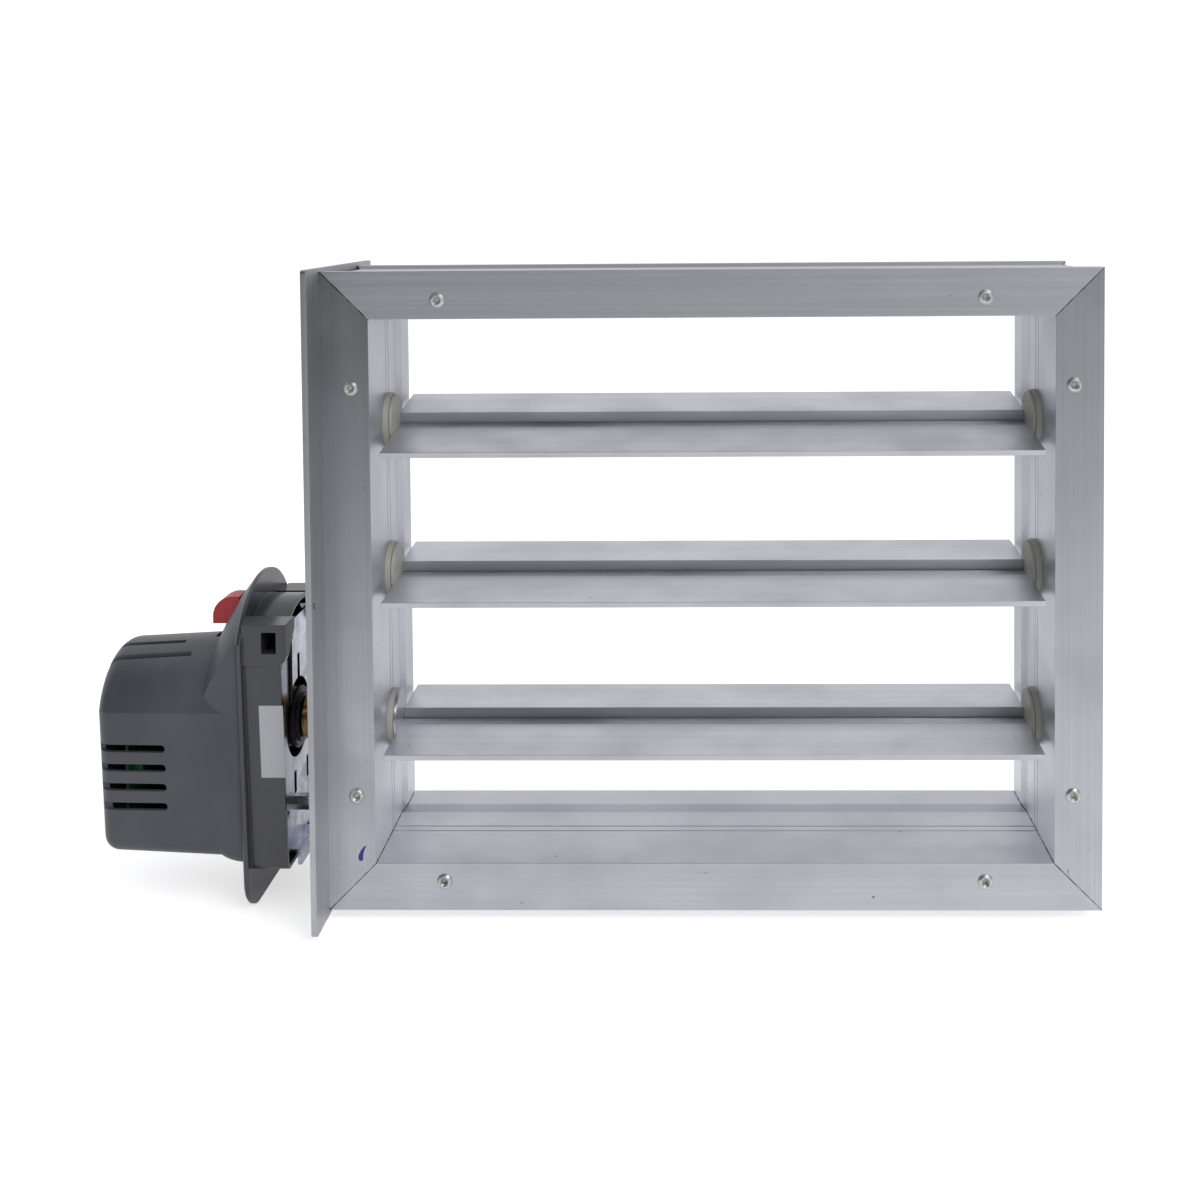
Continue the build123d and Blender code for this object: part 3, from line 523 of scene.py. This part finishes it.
def dress_nodes():
    """Gives every piece of the frame its finish."""
    frame_tones = dict(light=(0.66, 0.67, 0.71), dark=(0.59, 0.60, 0.64), roughness=0.34, inner=0.9)
    blade_tones = dict(light=(0.68, 0.69, 0.73), dark=(0.62, 0.63, 0.675), roughness=0.32)
    # Painted shade colours the faces of the header and sill that look up or down.
    across = mill_aluminium(
        "frame_across", "x", seam=True, inner_shade_color=(0.60, 0.61, 0.66), **frame_tones)
    # Painted shade darkens the jambs towards the top, the left one more than the right.
    left = mill_aluminium("frame_left", "z", seam=True, painted_top_shade=0.38, **frame_tones)
    right = mill_aluminium("frame_right", "z", seam=True, painted_top_shade=0.66, **frame_tones)
    blade = mill_aluminium("blade_metal", "x", marks=0.6, **blade_tones)
    # Painted shade darkens the side plate towards the top.
    sheet = mill_aluminium(
        "plate_sheet", "z", (0.62, 0.63, 0.65), (0.56, 0.57, 0.59), 0.38, painted_top_shade=0.75)
    rivet = plated_steel("rivet_metal", (0.74, 0.74, 0.73), (0.58, 0.58, 0.57), 0.38)
    plated = plated_steel("plated_pins", (0.72, 0.73, 0.75), (0.58, 0.59, 0.62), 0.30)
    zinc = plated_steel("bright_zinc_plate", (0.62, 0.63, 0.71), (0.40, 0.42, 0.52), 0.20, grain=90.0)
    green_zinc = plated_steel("yellow_green_zinc", (0.58, 0.66, 0.64), (0.42, 0.50, 0.49), 0.28)
    turned = turned_metal("turned_steel_shaft", (0.68, 0.68, 0.70), (0.52, 0.52, 0.55), 0.28)
    brass = turned_metal("turned_brass", (0.62, 0.43, 0.17), (0.44, 0.28, 0.10), 0.30)
    nylon = moulded_plastic("cream_nylon_discs", (0.40, 0.395, 0.36), 0.46, variation=0.08)
    gear = moulded_plastic("white_gear_nylon", (0.74, 0.73, 0.69), 0.42, variation=0.05)
    casing = moulded_plastic("dark_grey_casing", (0.075, 0.077, 0.092), 0.36)
    rear_casing = moulded_plastic(
        "glossy_grey_casing", (0.045, 0.046, 0.058), 0.22, relief=0.06, specular=0.8)
    black = moulded_plastic("black_glass_filled", (0.020, 0.020, 0.022), 0.38)
    red = moulded_plastic("red_lever_plastic", (0.46, 0.030, 0.036), 0.34, variation=0.10)
    board = moulded_plastic("board_lacquer", (0.03, 0.16, 0.07), 0.30)
    by_name = {
        "header": across, "sill": across, "left_jamb": left, "right_jamb": right,
        "side_plate": sheet, "front_rivets": rivet, "rear_rivets": rivet,
        "drive_bush": brass, "actuator_rear_case": rear_casing, "actuator_housing": casing,
        "base_plate": zinc, "base_plate_screws": green_zinc, "housing_screws": green_zinc,
        "side_plate_screws": plated, "anti_rotation_stud": green_zinc, "stud_nut": green_zinc,
        "retaining_clip": black, "hub_clamp": black, "release_lever": red,
        "output_gear": gear, "idler_gear": gear, "idler_arbor": turned, "motor_pinion": brass,
        "motor": zinc, "gear_plate": plated, "circuit_board": board, "drive_spindle": turned,
        "tie_bar": plated,
    }
    by_start = (("blade_", blade), ("bearing_", nylon), ("pivot_", nylon), ("crank", plated),
                ("front_key", plated), ("rear_key", plated))
    for name, piece in nodes.items():
        material = by_name.get(name)
        if material is None:
            material = next(m for start, m in by_start if name.startswith(start))
        piece.data.materials.clear()
        piece.data.materials.append(material)


# ---------------------------------------------------------------- pieces that the frame doesn't have
def add_plate(name, corners, thick, material):
    """A thin flat piece on the frame: an outline of corners in order, raised towards the front."""
    mesh = bpy.data.meshes.new(name)
    form = bmesh.new()
    low = [form.verts.new(corner) for corner in corners]
    high = [form.verts.new(Vector(corner) - Vector((0, thick, 0))) for corner in corners]
    form.faces.new(low[::-1])
    form.faces.new(high)
    for i, (first, second) in enumerate(zip(low, low[1:] + low[:1])):
        form.faces.new((first, second, high[(i + 1) % len(high)], high[i]))
    bmesh.ops.recalc_face_normals(form, faces=form.faces)
    form.to_mesh(mesh)
    form.free()
    piece = bpy.data.objects.new(name, mesh)
    bpy.context.scene.collection.objects.link(piece)
    mesh.materials.append(material)
    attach(piece, "frame")


def rounded(outline, radius, steps=4):
    """The points of an outline in a plane, each corner turned into a short arc."""
    points = []
    count = len(outline)
    for i, corner in enumerate(outline):
        corner = Vector(corner)
        before = (Vector(outline[i - 1]) - corner).normalized() * radius
        after = (Vector(outline[(i + 1) % count]) - corner).normalized() * radius
        for k in range(steps + 1):
            t = k / steps
            points.append(corner + before * (1 - t) ** 2 + after * t ** 2)
    return points


def stick_label():
    """A blank label on the near wall of the shroud, which draws in towards the bottom."""
    case_low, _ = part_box("actuator_rear_case")
    left = case_low.x + label_from_flange
    right = left + label_wide

    def wall_y(z):
        """The wall's y at a height, a little in front of its surface."""
        down = (wall_top_z - z) / (wall_top_z - wall_low_z)
        return wall_top_y + (wall_low_y - wall_top_y) * down - label_lift

    top, bottom = label_top, label_top - label_tall
    corners = [(left, wall_y(bottom), bottom), (right, wall_y(bottom), bottom),
               (right, wall_y(top), top), (left, wall_y(top), top)]
    paper = moulded_plastic("label_paper", (0.53, 0.545, 0.57), 0.42, relief=0.05, variation=0.03)
    add_plate("blank_label", rounded(corners, label_round), label_thick, paper)


def draw_marker_stroke():
    """A short stroke of blue felt pen low on the left jamb, thin at the top and full at the foot."""
    jamb_low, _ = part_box("left_jamb")
    foot = Vector((jamb_low.x + stroke_x, jamb_low.y - stroke_lift, jamb_low.z + stroke_z))
    left = [foot + Vector((x - half, 0, z)) * mm for x, z, half in stroke_spine]
    right = [foot + Vector((x + half, 0, z)) * mm for x, z, half in stroke_spine]
    end = [foot + Vector((side * stroke_foot_half, 0, stroke_foot_drop)) * mm for side in (-1, 1)]
    ink = moulded_plastic("blue_felt_ink", (0.035, 0.035, 0.30), 0.38, relief=0.05, variation=0.25)
    add_plate("marker_stroke", end + right + left[::-1], stroke_thick, ink)


bpy.context.scene.view_settings.view_transform = "Standard"
point_camera()
set_world()
lay_floor()
hang_lamp("key", key_place, key_aim, key_size, key_power)
build_effects()
dress_nodes()
stick_label()
draw_marker_stroke()
